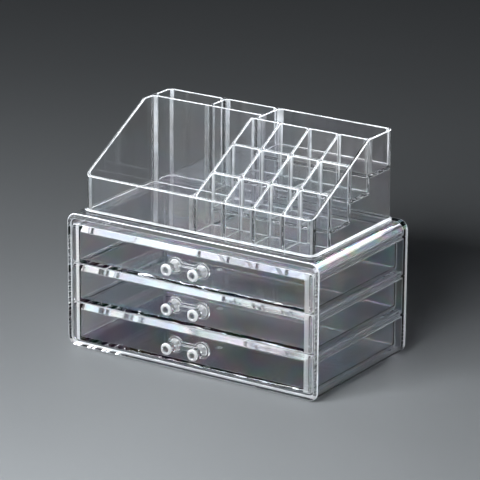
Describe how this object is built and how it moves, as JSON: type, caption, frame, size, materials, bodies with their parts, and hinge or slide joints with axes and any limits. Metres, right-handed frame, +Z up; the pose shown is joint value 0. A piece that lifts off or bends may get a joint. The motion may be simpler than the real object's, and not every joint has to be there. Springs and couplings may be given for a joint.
{
  "type": "makeup organizer",
  "caption": "Clear plastic vanity organizer: a housing with stacked drawers on side rails, and a loose slanted tray with a stepped rack of slots and deeper compartments.",
  "frame": {"origin": "on the surface the feet stand on, under the middle of the whole outline, knobs included", "axes": "+Z up, front and knobs towards -Y, +X to the right seen from the front"},
  "size_m": [0.238, 0.151, 0.1904],
  "materials": {
    "housing_clear": "polished clear moulding",
    "drawer_clear": "polished clear moulding",
    "handle_clear": "polished clear moulding",
    "tray_clear": "polished clear moulding"
  },
  "bodies": {
    "base": {"housing": "housing_clear", "feet": "housing_clear"},
    "drawer_top": {"top_drawer": "drawer_clear", "top_handle": "handle_clear"},
    "drawer_middle": {"middle_drawer": "drawer_clear", "middle_handle": "handle_clear"},
    "drawer_bottom": {"bottom_drawer": "drawer_clear", "bottom_handle": "handle_clear"},
    "tray": {"top_tray": "tray_clear"}
  },
  "joints": [
    {"name": "top_drawer_slide", "type": "slide", "parent": "base", "child": "drawer_top", "axis": [0, -1, 0], "range_m": [0, 0.105]},
    {"name": "middle_drawer_slide", "type": "slide", "parent": "base", "child": "drawer_middle", "axis": [0, -1, 0], "range_m": [0, 0.105]},
    {"name": "bottom_drawer_slide", "type": "slide", "parent": "base", "child": "drawer_bottom", "axis": [0, -1, 0], "range_m": [0, 0.105]},
    {"name": "tray_lift", "type": "slide", "parent": "base", "child": "tray", "axis": [0, 0, 1], "range_m": [0, 0.08]}
  ]
}
